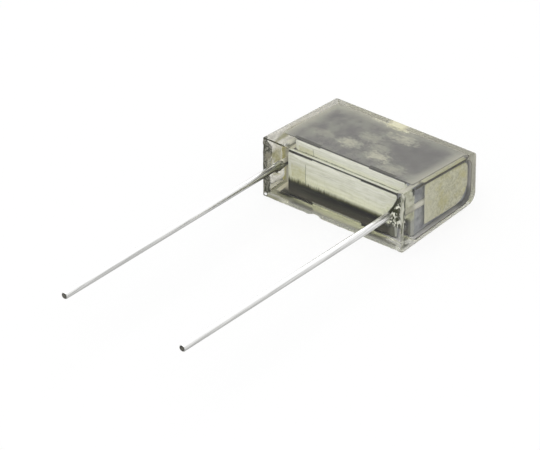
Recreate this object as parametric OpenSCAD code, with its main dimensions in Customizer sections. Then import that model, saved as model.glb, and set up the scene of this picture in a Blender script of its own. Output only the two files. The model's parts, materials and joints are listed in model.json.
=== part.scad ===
// Paper capacitor: a flattened roll of metallised paper cast in a clear resin block,
// lying on its lower broad face with both wire leads to the front.
// X runs along the block and the lead pitch, leads point to -Y, +Z is up.
// The origin is the middle of the lower broad face.

/* [Leads] */
// Distance between the two lead axes
lead_pitch = 15.2; // [10:0.1:28]
// Lead wire diameter
lead_d = 0.8; // [0.6:0.05:1]
// Lead length outside the lead face
lead_l = 34; // [5:0.5:40]
// Height of the leads above the block's middle plane
lead_offset = 0.5; // [-1:0.1:1]
// Length of wire held in the contact metal
lead_hold = 5.5; // [2:0.1:6]
// Bevel left by the cutter at a lead's tip
tip_bevel = 0.08; // [0.02:0.01:0.2]
// Length of the coined anchor stretch behind the collar
coin_l = 1.4; // [1.2:0.1:2]
// Thickness of the coined anchor stretch
coin_t = 0.44; // [0.3:0.01:0.45]
// Height of the coined anchor stretch
coin_w = 1.1; // [0.9:0.05:1.2]

/* [Resin block] */
// Distance from a lead axis to the end face of the block
end_margin = 1.65; // [1.5:0.05:4]
// Size of the block from the lead face to the back face
block_h = 13; // [11:0.5:24]
// Thickness of the block at the lead face
front_t = 7.3; // [6:0.1:12]
// Thickness of the block at the back face
back_t = 6.05; // [5:0.05:11]
// Radius of the long lower edge at the back
under_edge_r = 1.3; // [0.3:0.05:2]
// Radius of the long upper edge at the back
upper_edge_r = 0.4; // [0.1:0.05:1.5]
// Radius of the two long edges at the lead face
front_edge_r = 0.15; // [0.05:0.05:0.3]
// Radius of the end faces' lower and back edges
end_edge_r = 0.2; // [0.1:0.05:0.6]
// Radius of the end faces' top edges
top_edge_r = 0.2; // [0.1:0.05:0.5]

/* [Lead face] */
// Width of the rim around the sunken lead face
rim_w = 0.2; // [0.1:0.05:0.8]
// Depth of the sunken lead face at its middle
sink_d = 0.15; // [0.05:0.05:0.5]
// Length over which the sunken face rises to the rim at each end
sink_run = 0.6; // [0.6:0.1:2.5]
// Foot radius of the resin collar around a lead
collar_r = 1.1; // [1:0.05:1.5]
// Top radius of the resin collar
collar_top_r = 0.66; // [0.62:0.02:0.8]
// Height of the collar's top in front of the rim
collar_out = 0.25; // [0.1:0.05:0.35]
// Middle of the chip in the lower rim, along the block
chip_x = -2.3; // [-5:0.1:5]
// Width of the chip in the lower rim
chip_w = 1.2; // [0.4:0.1:2]
// Depth of the chip in the lower rim
chip_d = 0.3; // [0.1:0.05:0.4]

/* [Wrap] */
// Thickness of the folded insulating sheet
wrap_t = 0.15; // [0.1:0.05:0.3]
// Resin over the sheet's upper side and back
wrap_cover = 0.5; // [0.3:0.05:1]
// Resin under the sheet's lower side
wrap_under = 0.25; // [0.2:0.05:0.8]
// Resin between the sheet's ends and the end faces
wrap_end_cover = 0.75; // [0.6:0.05:1]
// Distance from the lead face to the sheet's front edges
wrap_front = 2.65; // [1.5:0.05:4]
// Outer radius of the sheet's two folds
wrap_fold_r = 1.1; // [0.5:0.05:1.5]
// Length of the shallow cut-out in each front edge
wrap_notch_l = 6.4; // [3:0.1:8]
// Depth of the shallow cut-out in each front edge
wrap_notch_d = 0.2; // [0.1:0.05:0.5]
// Middle of the cut-outs along the block
wrap_notch_x = -0.45; // [-1:0.05:1]

/* [Roll] */
// Distance from the lead face to the roll
roll_front = 2.45; // [2:0.05:3.5]
// Resin film between the roll and the sheet
roll_gap = 0.08; // [0.05:0.01:0.3]
// How far the roll lies off the block's middle, towards the right end
roll_shift = 0.3; // [-0.3:0.05:0.3]
// Radius of the roll's upper front edge
roll_upper_r = 0.9; // [0.1:0.05:1.5]
// Radius of the roll's lower front edge
roll_lower_r = 0.4; // [0.1:0.05:1.5]
// Thickness of the sprayed metal on each end of the roll
spray_t = 0.4; // [0.3:0.05:0.8]

/* [Contacts] */
// Metal between each sprayed end and its wire if the roll lies in the middle
contact_under = 0.05; // [0.02:0.01:0.1]
// Metal over the wire
contact_over = 0.35; // [0.05:0.05:0.45]
// Distance from the roll's front to the contact metal
contact_set_back = 1.85; // [0.5:0.05:2.5]
// How much further back the contact metal's front lies at the sprayed end
contact_slant = 0.5; // [0.1:0.1:1]
// Distance from the contact metal to the roll's back
contact_back_inset = 0.35; // [0.1:0.05:1.5]
// Height of the contact metal's lower side above the roll's, at its front
contact_foot_front = 0.8; // [0.1:0.05:1.5]
// Height of the contact metal's lower side above the roll's, at its back
contact_foot_back = 0.25; // [0.1:0.05:1]
// Radius of the contact metal's upper back corner
contact_upper_r = 0.9; // [0.2:0.1:1.5]
// Radius of the contact metal's lower back corner
contact_lower_r = 2.2; // [0.5:0.1:2.5]

/* [Hidden] */
$fn = 64;

// Sizes that follow from the driving ones
block_l = lead_pitch + 2 * end_margin;
front_y = -block_h / 2;
back_y = block_h / 2;
top_fall = (front_t - back_t) / block_h;
top_slope = atan(top_fall);
tilt = atan(top_fall / 2);
wrap_l = block_l - 2 * wrap_end_cover;
inner_cover = wrap_cover + wrap_t;
inner_under = wrap_under + wrap_t;
roll_cover = inner_cover + roll_gap;
roll_under = inner_under + roll_gap;
roll_back_r = wrap_fold_r - wrap_t - roll_gap;
paper_w = lead_pitch - lead_d - 2 * (spray_t + contact_under);
contact_x = lead_pitch / 2 + lead_d / 2 + contact_over;
contact_front = roll_front + contact_set_back;
lead_end = contact_front + lead_hold;
sink_r = (pow(sink_run, 2) + pow(sink_d, 2)) / (2 * sink_d);
sink_chord = front_t / 2 - rim_w;
sink_arc_r = (pow(sink_chord, 2) + pow(sink_d, 2)) / (2 * sink_d);
collar_fillet_r = collar_r - collar_top_r;
reach = 2 * block_l;
overlap = 0.5;

LEFT = -1;
RIGHT = 1;

// Height of the top face above a place from front to back, less a cover measured square to it
function top_z(y, cover) = front_t - top_fall * (y - front_y) - cover / cos(top_slope);

// Corners of the block's side outline, from the front at the bottom, with each side moved in
function side_outline(front, under, back, cover) = let (
    y0 = front_y + front,
    y1 = back_y - back
) [
    [y0, under],
    [y1, under],
    [y1, top_z(y1, cover)],
    [y0, top_z(y0, cover)],
];

// Distance of the roll's end from the block's middle on one side
function roll_end(side) = paper_w / 2 + side * roll_shift;

// A polygon with each corner rounded to its own radius, or left sharp at zero
module rounded_polygon(points, radii) {
    n = len(points);
    difference() {
        polygon(points);
        for (i = [0 : n - 1])
            if (radii[i] > 0)
                corner_waste(points[i], points[(i + n - 1) % n], points[(i + 1) % n], radii[i]);
    }
}

// What lies outside a round at corner p between its neighbours a and b
module corner_waste(p, a, b, r) {
    u = (a - p) / norm(a - p);
    v = (b - p) / norm(b - p);
    middle = (u + v) / norm(u + v);
    half = acos(u * v) / 2;
    centre = p + middle * r / sin(half);
    difference() {
        polygon([p - middle * overlap, p + u * r / tan(half), centre, p + v * r / tan(half)]);
        translate(centre) circle(r);
    }
}

// A side outline in Y and Z, drawn out along X about the middle
module along_x(length) rotate([90, 0, 90]) linear_extrude(length, center = true) children();

// Local frame of the tilted middle plane: Y runs inwards from the lead face, Z off the plane
module on_middle_plane() translate([0, front_y, front_t / 2]) rotate([-tilt, 0, 0]) children();

// Local frame of a lead: Z runs outwards along the wire from the lead face
module on_lead_axis(side)
    on_middle_plane()
        translate([side * lead_pitch / 2, 0, lead_offset])
            rotate([90, 0, 0])
                children();

// Outline of the flattened roll, which fills the folded sheet, seen from its end
module roll_outline()
    rounded_polygon(
        side_outline(roll_front, roll_under, roll_cover, roll_cover),
        [roll_lower_r, roll_back_r, roll_back_r, roll_upper_r]
    );

// Outline of the contact metal, seen from the end
module contact_outline() {
    y0 = front_y + contact_front;
    y1 = back_y - roll_cover - contact_back_inset;
    corners = [
        [y0, roll_under + contact_foot_front],
        [y1, roll_under + contact_foot_back],
        [y1, top_z(y1, roll_cover)],
        [y0, top_z(y0, roll_cover)],
    ];
    rounded_polygon(corners, [0, contact_lower_r, contact_upper_r, 0]);
}

// Plan outline of the contact metal, with its front slanting back towards the sprayed end
module contact_plan(side) {
    x0 = side * (roll_end(side) + spray_t);
    x1 = side * contact_x;
    y0 = front_y + contact_front;
    polygon([[x0, y0 + contact_slant], [x1, y0], [x1, back_y], [x0, back_y]]);
}

// Drafted casting with its long edges rounded, before the lead face is sunk
module block_prism()
    along_x(block_l)
        rounded_polygon(
            side_outline(0, 0, 0, 0),
            [front_edge_r, under_edge_r, upper_edge_r, front_edge_r]
        );

// Plan outline that rounds the upright back edges
module plan_prism()
    linear_extrude(2 * reach, center = true)
        rounded_polygon([
            [-block_l / 2, front_y - overlap],
            [block_l / 2, front_y - overlap],
            [block_l / 2, back_y],
            [-block_l / 2, back_y],
        ], [0, 0, end_edge_r, end_edge_r]);

// Front outline that rounds the lower edges of the end faces
module lower_edge_prism()
    rotate([90, 0, 0])
        linear_extrude(2 * reach, center = true)
            rounded_polygon([
                [-block_l / 2, 0],
                [block_l / 2, 0],
                [block_l / 2, front_t + overlap],
                [-block_l / 2, front_t + overlap],
            ], [end_edge_r, end_edge_r, 0, 0]);

// Front outline in the slope of the top face that rounds its two end edges
module top_edge_prism()
    translate([0, front_y, front_t])
        rotate([90 - top_slope, 0, 0])
            linear_extrude(2 * reach, center = true)
                rounded_polygon([
                    [-block_l / 2, -reach],
                    [block_l / 2, -reach],
                    [block_l / 2, 0],
                    [-block_l / 2, 0],
                ], [0, 0, top_edge_r, top_edge_r]);

// Sunken lead face: hollow across the block, level along it and rising at both ends
module sunken_face() {
    level_l = block_l - 2 * (rim_w + sink_run);
    intersection() {
        along_x(block_l)
            translate([front_y + sink_d - sink_arc_r, front_t / 2])
                circle(sink_arc_r, $fn = 128);
        linear_extrude(2 * front_t, center = true)
            union() {
                translate([-level_l / 2, front_y - sink_r])
                    square([level_l, sink_r + sink_d]);
                for (side = [LEFT, RIGHT])
                    translate([side * level_l / 2, front_y + sink_d - sink_r])
                        circle(sink_r, $fn = 128);
            }
    }
}

// Resin drawn up round a lead, with a flat top and a hollow flank
module collar(side)
    on_lead_axis(side)
        translate([0, 0, collar_out - collar_fillet_r - sink_d])
            rotate_extrude()
                difference() {
                    square([collar_r, collar_fillet_r + sink_d]);
                    translate([collar_r, collar_fillet_r + sink_d])
                        circle(collar_fillet_r);
                }

// Small break in the lower rim of the lead face
module rim_chip()
    translate([chip_x, front_y, 0])
        rotate([45, 0, 0])
            cube([chip_w, chip_d * sqrt(2), chip_d * sqrt(2)], center = true);

// Clear cast block around everything that it seals
module resin_body() color([0.80, 0.80, 0.66, 0.35])
    difference() {
        union() {
            difference() {
                intersection() {
                    block_prism();
                    plan_prism();
                    lower_edge_prism();
                    top_edge_prism();
                }
                sunken_face();
                rim_chip();
            }
            for (side = [LEFT, RIGHT])
                collar(side);
        }
        wrap_sheet();
        roll();
        for (side = [LEFT, RIGHT]) {
            end_spray(side);
            end_contact(side);
            lead(side);
        }
    }

// Folded sheet around the roll's broad sides and back, open towards the leads
module wrap_sheet() color([0.55, 0.55, 0.53])
    difference() {
        along_x(wrap_l)
            difference() {
                rounded_polygon(
                    side_outline(wrap_front, wrap_under, wrap_cover, wrap_cover),
                    [0, wrap_fold_r, wrap_fold_r, 0]
                );
                rounded_polygon(
                    side_outline(wrap_front - overlap, inner_under, inner_cover, inner_cover),
                    [0, wrap_fold_r - wrap_t, wrap_fold_r - wrap_t, 0]
                );
            }
        translate([wrap_notch_x - wrap_notch_l / 2, front_y, -overlap])
            cube([wrap_notch_l, wrap_front + wrap_notch_d, front_t + 2 * overlap]);
    }

// Flattened roll of metallised paper
module roll() color([0.80, 0.79, 0.70])
    translate([roll_shift, 0, 0])
        along_x(paper_w)
            roll_outline();

// Sprayed metal over one end of the roll, in which the wire may bed itself
module end_spray(side) color([0.50, 0.50, 0.52])
    difference() {
        translate([side * (roll_end(side) + spray_t / 2), 0, 0])
            along_x(spray_t)
                roll_outline();
        lead(side);
    }

// Contact metal that buries the inner end of a lead on the sprayed end
module end_contact(side) color([0.68, 0.67, 0.58])
    difference() {
        intersection() {
            along_x(2 * contact_x)
                contact_outline();
            linear_extrude(max(front_t, back_t))
                contact_plan(side);
        }
        lead(side);
    }

// Tinned wire: free round length, coined anchor behind the collar, round inner end
module lead(side) color([0.78, 0.78, 0.77])
    on_lead_axis(side)
        union() {
            translate([0, 0, lead_l - tip_bevel])
                cylinder(tip_bevel, lead_d / 2, lead_d / 2 - tip_bevel);
            translate([0, 0, collar_out])
                cylinder(lead_l - tip_bevel - collar_out, d = lead_d);
            translate([0, 0, collar_out - coin_l])
                linear_extrude(coin_l)
                    coined_section();
            translate([0, 0, -lead_end])
                cylinder(lead_end + collar_out - coin_l, d = lead_d);
        }

// Cross-section of the coined stretch: flat sides and round edges
module coined_section() {
    level = coin_w - coin_t;
    square([coin_t, level], center = true);
    for (end = [LEFT, RIGHT])
        translate([0, end * level / 2])
            circle(coin_t / 2);
}

resin_body();
wrap_sheet();  // insulating_wrap
roll();  // winding
end_spray(LEFT);  // end_spray_left
end_spray(RIGHT);  // end_spray_right
end_contact(LEFT);  // end_contact_left
end_contact(RIGHT);  // end_contact_right
lead(LEFT);  // lead_left
lead(RIGHT);  // lead_right
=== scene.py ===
"""Looks of a paper capacitor: a flattened paper roll cast in a clear resin block, with two wire leads.

Shapes are worked out in millimetres in the frame's own axes and turned into metres at the end.
"""

import json
import math

import bmesh
import bpy
import numpy as np
from mathutils import Matrix, Vector, noise


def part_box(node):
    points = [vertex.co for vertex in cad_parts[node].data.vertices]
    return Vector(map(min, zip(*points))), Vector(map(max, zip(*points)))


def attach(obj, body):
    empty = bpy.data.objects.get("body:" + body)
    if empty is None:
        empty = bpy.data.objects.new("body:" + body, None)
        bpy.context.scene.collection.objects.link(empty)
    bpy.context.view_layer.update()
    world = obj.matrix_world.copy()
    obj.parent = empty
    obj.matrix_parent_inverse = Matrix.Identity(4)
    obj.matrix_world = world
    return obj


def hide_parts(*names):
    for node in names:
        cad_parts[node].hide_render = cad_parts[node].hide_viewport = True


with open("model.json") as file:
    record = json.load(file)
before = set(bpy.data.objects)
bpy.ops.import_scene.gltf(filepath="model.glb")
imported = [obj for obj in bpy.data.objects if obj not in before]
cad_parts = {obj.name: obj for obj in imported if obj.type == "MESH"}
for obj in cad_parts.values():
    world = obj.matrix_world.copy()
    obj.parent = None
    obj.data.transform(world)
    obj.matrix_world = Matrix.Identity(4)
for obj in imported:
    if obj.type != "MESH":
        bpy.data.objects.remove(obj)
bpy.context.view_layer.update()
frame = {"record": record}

MM = 0.001


def box_mm(node):
    """Lowest and highest corner of a CAD node, in millimetres."""
    low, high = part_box(node)
    return np.array(low) / MM, np.array(high) / MM


# Block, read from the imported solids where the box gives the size
RESIN_LOW, RESIN_HIGH = box_mm("resin_body")
HALF_L = RESIN_HIGH[0]
BACK_Y = RESIN_HIGH[1]
FRONT_Y = -BACK_Y
FRONT_T = 7.3
BACK_T = 6.05
TOP_FALL = (FRONT_T - BACK_T) / (BACK_Y - FRONT_Y)
TOP_SLOPE = math.atan(TOP_FALL)
# Edge rounds of the block
FRONT_EDGE_R = 0.15
UPPER_EDGE_R = 0.4
UNDER_EDGE_R = 1.3
END_EDGE_R = 0.2
TOP_EDGE_R = 0.2
# Sunken lead face: its rim, its depth and the runs over which it gets that deep
RIM_W = 0.2
SINK_D = 0.15
SINK_RUN = 0.6
TOP_SINK_RUN = 1.7
# Resin drawn up the leads in uneven facets, taller than wide, and the ripples round it
COLLAR_OUT = FRONT_Y - RESIN_LOW[1]
COLLAR_W = 0.75
COLLAR_FACETS = 7
FACET_TURN_SPREAD = 0.35
FACET_STEEP_SPREAD = 0.45
COLLAR_SQUEEZE = 0.75
COLLAR_CURVE = 1.5
RIPPLE_D = 0.08
RIPPLE_R = 1.1
# Ragged, chipped and crinkled front edges
EDGE_REACH = 0.3
FAINT = 0.01
RAGGED_D = 0.05
CHIP_X = -2.3
CHIP_W = 1.2
CHIP_D = 0.3
CRINKLE_D = 0.06
FINE_CRINKLE_D = 0.03

# Folded sheet
WRAP_LOW, WRAP_HIGH = box_mm("insulating_wrap")
WRAP_COVER = BACK_Y - WRAP_HIGH[1]
WRAP_UNDER = WRAP_LOW[2]
WRAP_T = 0.15
WRAP_FOLD_R = 1.1
SHEET_CUT_MIDDLE = -0.45
NOTCH_L = 6.4
NOTCH_D = 0.2

# Roll and what is on its ends
ROLL_LOW, ROLL_HIGH = box_mm("winding")
ROLL_FRONT = ROLL_LOW[1] - FRONT_Y
ROLL_GAP = ROLL_LOW[2] - WRAP_UNDER - WRAP_T
ROLL_BACK_R = WRAP_FOLD_R - WRAP_T - ROLL_GAP
ROLL_CORNER_R = (0.4, 0.9, ROLL_BACK_R, ROLL_BACK_R)
CREASE_D = 0.015
SPRAY_HIGH = box_mm("end_spray_right")[1]
SPRAY_T = SPRAY_HIGH[0] - ROLL_HIGH[0]
SPRAY_GRAIN_D = 0.02
CONTACT_LOW, CONTACT_HIGH = box_mm("end_contact_right")
CONTACT_FRONT = CONTACT_LOW[1] - FRONT_Y
CONTACT_SLANT = 0.5
CONTACT_BACK = BACK_Y - CONTACT_HIGH[1]
CONTACT_FOOT_FRONT = ROLL_LOW[2] + 0.8
CONTACT_FOOT_BACK = ROLL_LOW[2] + 0.25
CONTACT_CORNER_R = (0.2, 0.2, 0.9, 2.2)
CONTACT_GRAIN_D = 0.03
CONTACT_SEAT = 0.05
LAYER_EDGE_R = 0.12

# Leads, from the record's pin mounts
LEAD_MOUNTS = [m for m in frame["record"]["mounts"] if m["kind"] == "pin"]
LEAD_R = LEAD_MOUNTS[0]["dims"]["r_mm"]
LEAD_Z = 4.15
LEAD_X = abs(LEAD_MOUNTS[0]["pos_m"][0]) / MM
LEAD_SLOPE = LEAD_MOUNTS[0]["axis"][2] / LEAD_MOUNTS[0]["axis"][1]
TIP_BEVEL = 0.08
COIN_L = 1.4
COIN_T = 0.44
COIN_W = 1.1
COIN_RUN = 0.15
WIRE_WEAR = 0.02

# Camera fitted to the photograph's corners, in millimetres and degrees
CAMERA_AT = (-7.307, -7.723, -2.317)
CAMERA_DISTANCE = 450
CAMERA_AZIMUTH = 38.541
CAMERA_ELEVATION = 32.706
CAMERA_ROLL = -0.458
CAMERA_LENS = 283.09


def srgb(red, green, blue):
    """Linear colour, with alpha, of an sRGB colour given from 0 to 255."""

    def linear(value):
        value /= 255
        return value / 12.92 if value <= 0.04045 else ((value + 0.055) / 1.055) ** 2.4

    return (linear(red), linear(green), linear(blue), 1.0)


# Meshes


def unit(vector):
    """A vector's direction, one long."""
    return vector / np.linalg.norm(vector)


def corner_arc(before, corner, after, radius, count):
    """Points of the arc that rounds a corner, and how far along the arc each lies."""
    u = unit(before - corner)
    v = unit(after - corner)
    half = math.acos(float(u @ v)) / 2
    centre = corner + unit(u + v) * radius / math.sin(half)
    start = corner + u * radius / math.tan(half) - centre
    end = corner + v * radius / math.tan(half) - centre
    sweep = math.atan2(start[0] * end[1] - start[1] * end[0], float(start @ end))
    steps = np.linspace(0, 1, count + 1)
    turned = [
        (
            math.cos(sweep * s) * start[0] - math.sin(sweep * s) * start[1],
            math.sin(sweep * s) * start[0] + math.cos(sweep * s) * start[1],
        )
        for s in steps
    ]
    return centre + np.array(turned), steps


def rounded_outline(corners, radii, side_counts, arc_counts):
    """Closed outline with rounded corners.

    Gives its points and, for each, the two sides that it lies between and the share of the second.
    """
    corners = [np.array(c, float) for c in corners]
    count = len(corners)
    arcs = [
        corner_arc(corners[i - 1], corner, corners[(i + 1) % count], radii[i], arc_counts[i])
        for i, corner in enumerate(corners)
    ]
    points, shares = [], []
    for i, (arc, steps) in enumerate(arcs):
        points.extend(arc)
        shares.extend(((i - 1) % count, i, s) for s in steps)
        begin, finish = arc[-1], arcs[(i + 1) % count][0][0]
        for k in range(1, side_counts[i]):
            s = 0.5 - 0.5 * math.cos(math.pi * k / side_counts[i])
            points.append(begin + (finish - begin) * s)
            shares.append((i, i, 0.0))
    return np.array(points), shares


def shared(values, shares):
    """A value given for each side, carried to the outline's points."""
    return np.array([values[a] * (1 - s) + values[b] * s for a, b, s in shares])


def loft(rings, close):
    """Closed mesh through rings with equally many points, with both end rings closed by a function."""
    mesh = bmesh.new()
    rows = [[mesh.verts.new(p * MM) for p in ring] for ring in rings]
    for low, high in zip(rows, rows[1:]):
        for k in range(len(low)):
            mesh.faces.new((low[k - 1], low[k], high[k], high[k - 1]))
    close(mesh, rows[0])
    close(mesh, rows[-1])
    bmesh.ops.recalc_face_normals(mesh, faces=mesh.faces)
    return mesh


def close_with_fan(mesh, row):
    """Closes an end by rings drawn in towards its middle and a fan."""
    middle = sum((v.co for v in row), Vector()) / len(row)
    for share in (0.96, 0.75, 0.4):
        inner = [mesh.verts.new(middle + (v.co - middle) * share) for v in row]
        for k in range(len(row)):
            mesh.faces.new((row[k - 1], row[k], inner[k], inner[k - 1]))
        row = inner
        middle = sum((v.co for v in row), Vector()) / len(row)
    centre = mesh.verts.new(middle)
    for k in range(len(row)):
        mesh.faces.new((row[k - 1], row[k], centre))


def close_with_strip(mesh, row):
    """Closes the end of a sheet whose ring runs along one side and back along the other."""
    for k in range(len(row) // 2 - 1):
        mesh.faces.new((row[k], row[k + 1], row[-2 - k], row[-1 - k]))


def add_piece(name, mesh, material, node, sharp=60):
    """Makes a piece that stands for a CAD node, smooth but for edges sharper than an angle."""
    data = bpy.data.meshes.new(name)
    mesh.to_mesh(data)
    mesh.free()
    data.shade_smooth()
    data.set_sharp_from_angle(angle=math.radians(sharp))
    data.materials.append(material)
    piece = bpy.data.objects.new(name, data)
    bpy.context.scene.collection.objects.link(piece)
    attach(piece, "root")
    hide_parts(node)
    return piece


def ripple(x, y, z, scale, seed=0.0):
    """Smooth noise from -1 to 1 with features about as long as scale."""
    return noise.noise(Vector((x / scale + seed, y / scale - seed, z / scale + 2 * seed)))


# Resin block

FRONT, TOP, BACK, UNDER = range(4)
SIDE_END_R = (FRONT_EDGE_R, TOP_EDGE_R, END_EDGE_R, END_EDGE_R)
CORNER_R = (FRONT_EDGE_R, FRONT_EDGE_R, UPPER_EDGE_R, UNDER_EDGE_R)
CORNER_STEPS = (6, 6, 8, 14)
SIDE_STEPS = (110, 26, 14, 26)
END_STEPS = 8
LONG_STEPS = 260


def block_corners(inset):
    """Side outline of the block with each side moved in by its own amount."""
    front, back = FRONT_Y + inset[FRONT], BACK_Y - inset[BACK]

    def top(y):
        return FRONT_T - TOP_FALL * (y - FRONT_Y) - inset[TOP] / math.cos(TOP_SLOPE)

    return [(front, inset[UNDER]), (front, top(front)), (back, top(back)), (back, inset[UNDER])]


def block_ring(turn, reach):
    """Outline of the block at a turn of its end rounds, and which of its points lie on the front."""
    inset = [r * (1 - math.cos(turn)) for r in SIDE_END_R]
    radii = [max(r - min(inset[i - 1], inset[i]), r / 3) for i, r in enumerate(CORNER_R)]
    points, shares = rounded_outline(block_corners(inset), radii, SIDE_STEPS, CORNER_STEPS)
    end_r = shared(SIDE_END_R, shares)
    x = (HALF_L - end_r) * reach + np.sign(reach) * end_r * math.sin(turn)
    front = np.array([a == FRONT and b == FRONT for a, b, s in shares])
    return np.column_stack((x, points)), front


def sink_depth(x, z):
    """Depth of the sunken lead face below its rim."""
    around = (min(HALF_L - abs(x), z) - RIM_W) / SINK_RUN
    above = (FRONT_T - z) / TOP_SINK_RUN
    share = min(max(min(around, above), 0), 1)
    return SINK_D * (1 - (1 - share) ** 2)


def collar_gap(across, up, seed):
    """Distance from a lead's surface, measured so that the collar round it gets flat, uneven facets."""
    far = 0.0
    for k in range(COLLAR_FACETS):
        turn = 2 * math.pi * (k + FACET_TURN_SPREAD * ripple(k, seed, 0, 0.7)) / COLLAR_FACETS
        steep = 1.0 + FACET_STEEP_SPREAD * ripple(k, seed, 3.1, 0.6)
        far = max(far, (across * math.cos(turn) + COLLAR_SQUEEZE * up * math.sin(turn)) * steep)
    return max(far - LEAD_R, 0)


def lead_face(x, y, z):
    """A point of the front side, moved to the sunken face with the resin drawn up the leads."""
    depth = sink_depth(x, z)
    y = y + depth
    for lead_x in (-LEAD_X, LEAD_X):
        gap = collar_gap(x - lead_x, z - LEAD_Z, lead_x)
        y -= (depth + COLLAR_OUT) * max(1 - gap / COLLAR_W, 0) ** COLLAR_CURVE
        near = math.exp(-((math.hypot(x - lead_x, 0.7 * (z - LEAD_Z)) / RIPPLE_R) ** 4))
        y += RIPPLE_D * near * abs(ripple(x, 0, z, 0.7, 2.0))
    return y


def edge_share(away):
    """How strongly a rough edge is felt at a distance from it."""
    return math.exp(-((away / EDGE_REACH) ** 2))


def ragged_rim(x, y, z):
    """A point near the lower front edge, drawn in where the casting's edge is ragged or chipped."""
    nearness = edge_share(math.hypot(y - FRONT_Y, z))
    if nearness < FAINT:
        return y, z
    rough = RAGGED_D * abs(ripple(x, 0, 0, 0.35)) + RAGGED_D * abs(ripple(x, 0, 0, 1.1, 4.0))
    chip = CHIP_D * math.exp(-(((x - CHIP_X) / (CHIP_W / 2)) ** 4))
    chip *= 0.7 + 0.5 * ripple(x, 0, 0, 0.3, 7.0)
    drawn = (rough + chip) * nearness
    return y + drawn * 0.6, z + drawn


def crinkled_edge(x, y, z):
    """A point near an upright front edge, drawn in where the casting's edge is crinkled."""
    nearness = edge_share(math.hypot(HALF_L - abs(x), y - FRONT_Y))
    if nearness < FAINT:
        return x, y
    side = math.copysign(1, x)
    coarse = CRINKLE_D * abs(ripple(side, 0, z, 1.1, 1.0))
    drawn = coarse + FINE_CRINKLE_D * abs(ripple(side, 0, z, 0.45, 6.0))
    return x - side * drawn * nearness, y + drawn * nearness


def resin_skin(material):
    """Outer skin of the cast block: drafted, rounded, with a sunken and slightly ragged lead face."""
    turns = [math.pi / 2 * k / END_STEPS for k in range(END_STEPS + 1)]
    spots = [(turn, -1.0) for turn in reversed(turns)]
    spots += [(0.0, t) for t in np.linspace(-1, 1, LONG_STEPS + 1)[1:-1]]
    spots += [(turn, 1.0) for turn in turns]
    rings = []
    for turn, reach in spots:
        ring, front = block_ring(turn, reach)
        for k, (x, y, z) in enumerate(ring):
            if front[k]:
                y = lead_face(x, y, z)
            y, z = ragged_rim(x, y, z)
            x, y = crinkled_edge(x, y, z)
            ring[k] = (x, y, z)
        rings.append(ring)
    return add_piece("resin_skin", loft(rings, close_with_fan), material, "resin_body")


# Folded sheet

SHEET_RINGS = 240


def sheet_line(front, inset, fold_r):
    """Open line of the folded sheet in the block's side view, from its upper to its lower front edge."""
    corners = block_corners([front, WRAP_COVER + inset, WRAP_COVER + inset, WRAP_UNDER + inset])
    radii = [0.01, 0.01, fold_r, fold_r]
    points, shares = rounded_outline(corners, radii, (4, 60, 24, 60), (1, 1, 12, 12))
    keep = [k for k, (a, b, s) in enumerate(shares) if FRONT not in (a, b)]
    return points[keep]


def folded_sheet(outside, inside):
    """Sheet folded round the roll's broad sides and back, with a shallow cut-out in each front edge."""
    front = WRAP_LOW[1] - FRONT_Y
    rings = []
    for x in np.linspace(WRAP_LOW[0], WRAP_HIGH[0], SHEET_RINGS):
        cut = NOTCH_D * (abs(x - SHEET_CUT_MIDDLE) < NOTCH_L / 2)
        outer = sheet_line(front + cut, 0, WRAP_FOLD_R)
        inner = sheet_line(front + cut, WRAP_T, WRAP_FOLD_R - WRAP_T)
        loop = np.concatenate((outer, inner[::-1]))
        rings.append(np.column_stack((np.full(len(loop), x), loop)))
    mesh = loft(rings, close_with_strip)
    piece = add_piece("folded_sheet", mesh, outside, "insulating_wrap")
    piece.data.materials.append(inside)
    middle = np.array((0, (WRAP_LOW[1] + WRAP_HIGH[1]) / 2, FRONT_T / 2)) * MM
    for face in piece.data.polygons:
        inward = np.array(face.normal) @ (middle - np.array(face.center))
        beside_cut = abs(face.center.x / MM - SHEET_CUT_MIDDLE) > NOTCH_L / 2
        # front edge faces beside the cut-outs take the dark inside material as a painted shadow
        shaded_front_edge = face.normal.y < -0.9 and beside_cut
        if shaded_front_edge or (inward > 0 and abs(face.normal.x) < 0.5):
            face.material_index = 1
    return piece


# Roll and its ends

ROLL_RINGS = 180


def roll_outline(steps=(30, 20, 8, 20)):
    """Side outline of the flattened roll, which fills the folded sheet."""
    inset = WRAP_T + ROLL_GAP
    corners = block_corners([ROLL_FRONT, WRAP_COVER + inset, WRAP_COVER + inset, WRAP_UNDER + inset])
    return rounded_outline(corners, ROLL_CORNER_R, steps, (8, 20, 12, 12))[0]


def contact_outline(drawn_in, slant=0.0):
    """Side outline of the contact metal, moved in on all sides, its front further back by a slant."""
    inset = WRAP_COVER + WRAP_T + ROLL_GAP + drawn_in
    corners = block_corners([CONTACT_FRONT + drawn_in + slant, inset, CONTACT_BACK + drawn_in, 0])
    corners[0] = (corners[0][0], CONTACT_FOOT_FRONT + drawn_in)
    corners[3] = (corners[3][0], CONTACT_FOOT_BACK + drawn_in)
    radii = [max(r - drawn_in, 0.05) for r in CONTACT_CORNER_R]
    return rounded_outline(corners, radii, (30, 30, 16, 30), (4, 4, 12, 20))[0]


def roll_end(side):
    """Distance of the roll's end from the block's middle."""
    return ROLL_HIGH[0] if side > 0 else -ROLL_LOW[0]


def drawn_towards_middle(outline, share):
    """An outline made smaller about its middle."""
    middle = outline.mean(axis=0)
    return middle + (outline - middle) * share


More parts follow.
